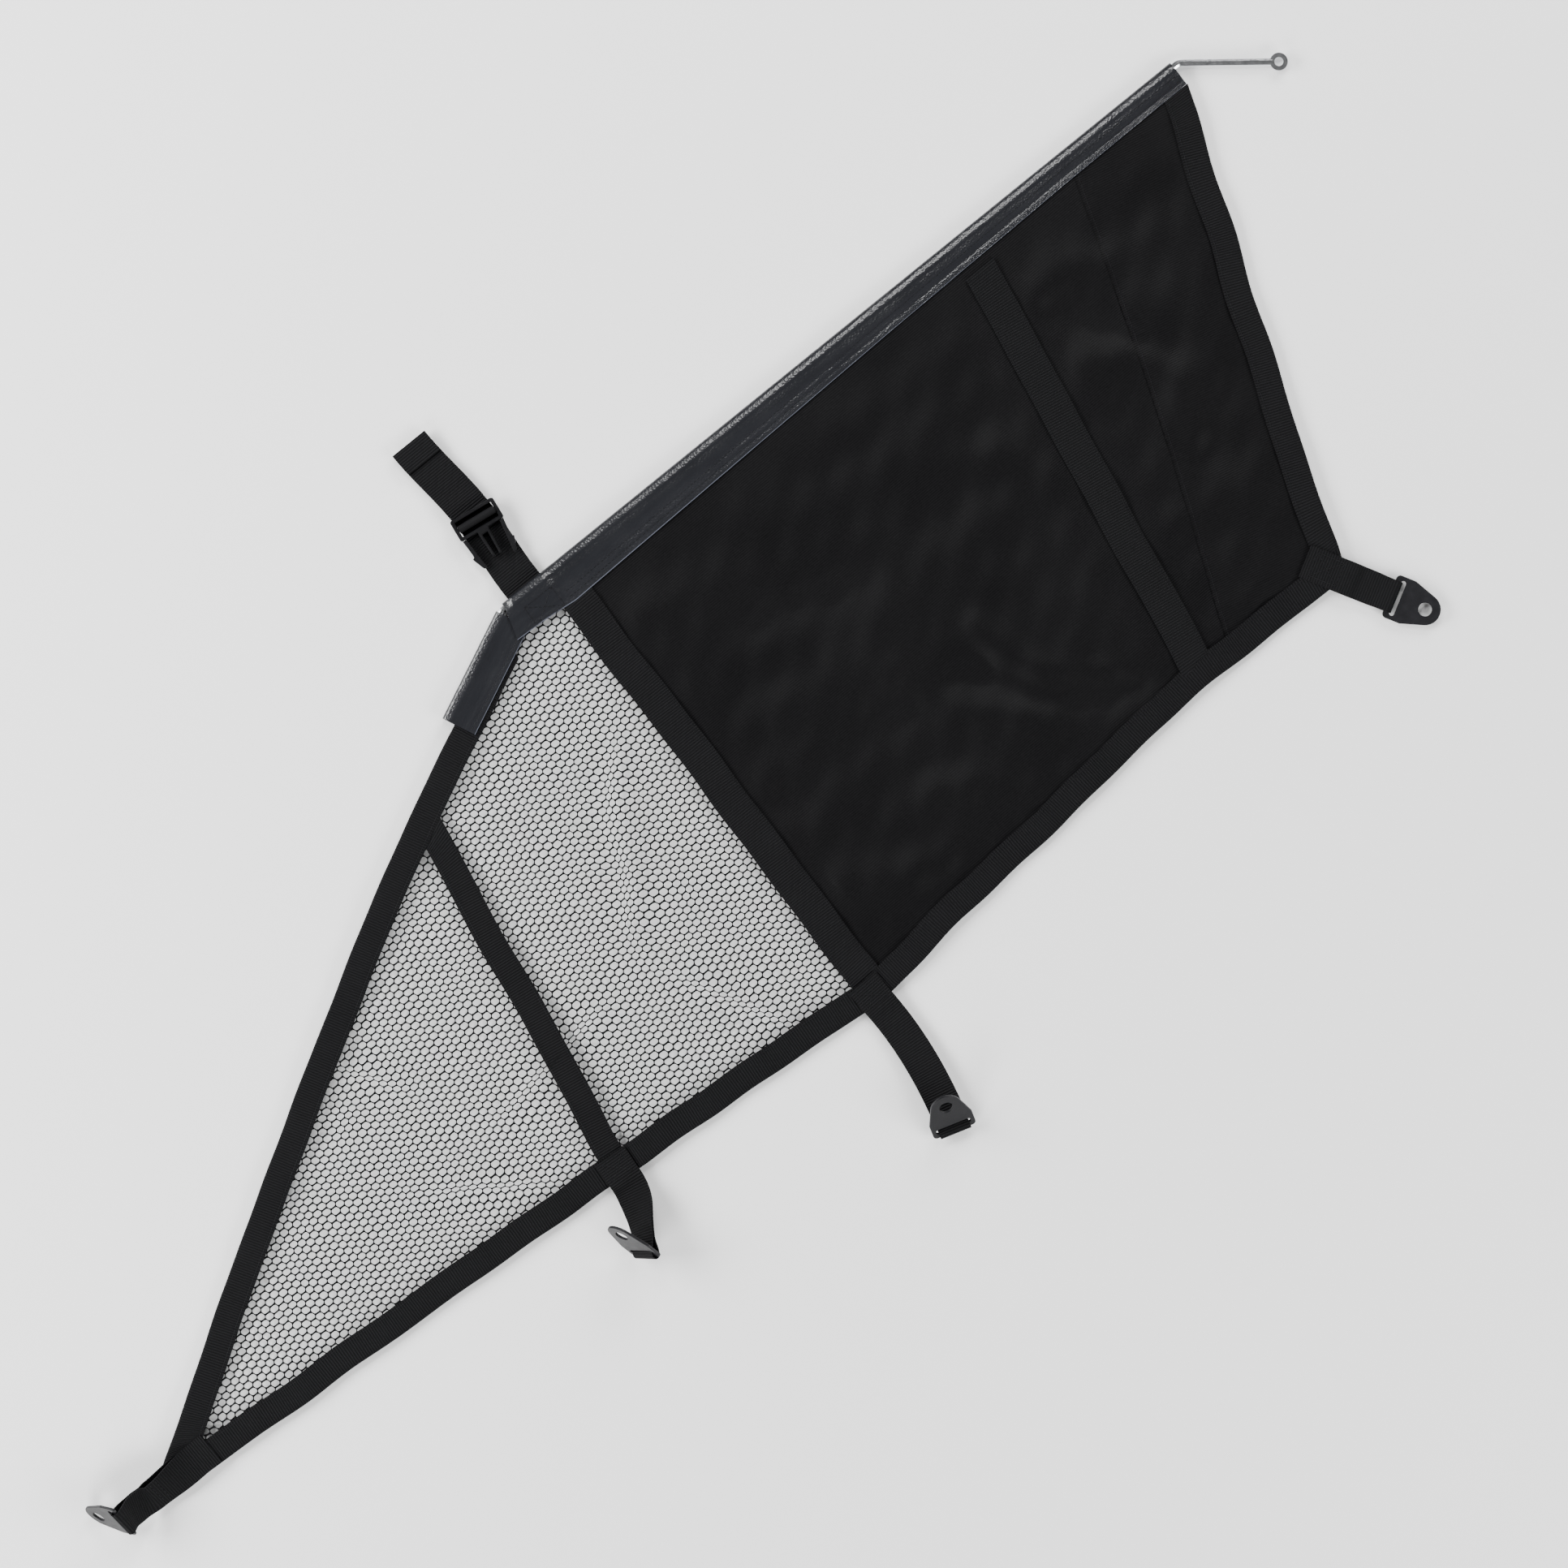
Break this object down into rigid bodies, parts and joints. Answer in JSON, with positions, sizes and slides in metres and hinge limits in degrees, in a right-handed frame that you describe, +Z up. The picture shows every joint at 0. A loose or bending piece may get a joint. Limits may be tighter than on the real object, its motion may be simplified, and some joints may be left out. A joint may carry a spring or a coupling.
{
  "type": "side window net",
  "caption": "Off-road vehicle window net with a sleeved steel rod, mesh and cloth panels, four webbing tabs with anchor plates, and a buckle strap.",
  "frame": {"origin": "middle of the bounding box, on the surface the net lies on", "axes": "+X back along the straight rod towards its eye, +Y from the net across the rod towards the buckle strap's end, +Z up from the surface"},
  "size_m": [1.3438, 0.6444, 0.0385],
  "materials": {
    "rod_steel": "bright plated, with fine drawing marks",
    "sleeve_vinyl": "embossed dark blue-grey vinyl, satin",
    "net_mesh": "black coated hexagonal mesh",
    "shade_cloth": "black woven cloth, slightly creased",
    "webbing_black": "black woven webbing with cross ribs",
    "plate_black": "black powder coat",
    "buckle_black": "black moulded plastic, semi-gloss"
  },
  "bodies": {
    "net": {"frame_rod": "rod_steel", "long_sleeve": "sleeve_vinyl", "short_sleeve": "sleeve_vinyl", "mesh_panel_middle": "net_mesh", "fabric_panel_main": "shade_cloth", "fabric_panel_rear": "shade_cloth", "front_binding_upper": "webbing_black", "bottom_binding_rear": "webbing_black", "rear_binding": "webbing_black", "cross_strap_front": "webbing_black", "cross_strap_middle": "webbing_black", "cross_strap_rear": "webbing_black", "rear_corner_patch": "webbing_black"},
    "front_point": {"mesh_panel_front": "net_mesh", "front_binding_lower": "webbing_black", "bottom_binding_front": "webbing_black"},
    "tip_tab": {"tip_tab_strap": "webbing_black"},
    "tip_plate": {"tip_anchor_plate": "plate_black"},
    "front_tab": {"front_tab_strap": "webbing_black"},
    "front_plate": {"front_anchor_plate": "plate_black"},
    "middle_tab": {"middle_tab_strap": "webbing_black"},
    "middle_plate": {"middle_anchor_plate": "plate_black"},
    "rear_tab": {"rear_tab_strap": "webbing_black"},
    "rear_plate": {"rear_anchor_plate": "plate_black"},
    "buckle_band": {"buckle_strap": "webbing_black", "buckle_strap_hem": "webbing_black"},
    "buckle": {"buckle_body": "buckle_black", "buckle_strap_turn": "webbing_black"},
    "front_latch": {"latch_arm_front": "buckle_black"},
    "rear_latch": {"latch_arm_rear": "buckle_black"}
  },
  "joints": [
    {"name": "front_point_fold", "type": "hinge", "parent": "net", "child": "front_point", "pos_m": [-0.16125, 0.18094, 0.00613], "axis": [0.1748, 0.9846, 0], "range_deg": [0, 120]},
    {"name": "tip_tab_flex", "type": "hinge", "parent": "front_point", "child": "tip_tab", "pos_m": [-0.62558, -0.15503, 0.01213], "axis": [0, 0.788, 0.6157], "range_deg": [0, 90]},
    {"name": "tip_plate_swing", "type": "hinge", "parent": "tip_tab", "child": "tip_plate", "pos_m": [-0.65158, -0.15603, 0.02763], "axis": [-0.0275, -0.7875, -0.6157], "range_deg": [-110, 20]},
    {"name": "front_tab_flex", "type": "hinge", "parent": "net", "child": "front_tab", "pos_m": [-0.21466, -0.19321, 0.00413], "axis": [-0.9971, 0.0755, 0], "range_deg": [0, 90]},
    {"name": "front_plate_swing", "type": "hinge", "parent": "front_tab", "child": "front_plate", "pos_m": [-0.23666, -0.24421, 0.01513], "axis": [0.4962, -0.3526, 0.7934], "range_deg": [-5, 136]},
    {"name": "middle_tab_flex", "type": "hinge", "parent": "net", "child": "middle_tab", "pos_m": [0.00912, -0.21183, 0.00413], "axis": [-0.9994, -0.0348, 0], "range_deg": [0, 90]},
    {"name": "middle_plate_swing", "type": "hinge", "parent": "middle_tab", "child": "middle_plate", "pos_m": [-0.00588, -0.31483, 0.00613], "axis": [0.9563, -0.2924, 0], "range_deg": [-10, 135]},
    {"name": "rear_tab_flex", "type": "hinge", "parent": "net", "child": "rear_tab", "pos_m": [0.46898, -0.18544, 0.00413], "axis": [-0.8746, -0.4848, 0], "range_deg": [0, 90]},
    {"name": "rear_plate_swing", "type": "hinge", "parent": "rear_tab", "child": "rear_plate", "pos_m": [0.48498, -0.2143, 0.00413], "axis": [-0.8746, -0.4848, 0], "range_deg": [0, 120]},
    {"name": "buckle_strap_swing", "type": "hinge", "parent": "net", "child": "buckle_band", "pos_m": [-0.00093, 0.18484, 0.00413], "axis": [1, 0, 0], "range_deg": [0, 140]},
    {"name": "buckle_slide", "type": "slide", "parent": "buckle_band", "child": "buckle", "axis": [0.0348, 0.9994, 0], "range_m": [-0.015, 0.045]},
    {"name": "front_latch_squeeze", "type": "hinge", "parent": "buckle", "child": "front_latch", "pos_m": [-0.01375, 0.24115, 0.00723], "axis": [0, 0, 1], "range_deg": [0, 7], "stiffness_Nm_per_rad": 0.4},
    {"name": "rear_latch_squeeze", "type": "hinge", "parent": "buckle", "child": "rear_latch", "pos_m": [0.01715, 0.2368, 0.00723], "axis": [0, 0, -1], "range_deg": [0, 7], "stiffness_Nm_per_rad": 0.4}
  ]
}
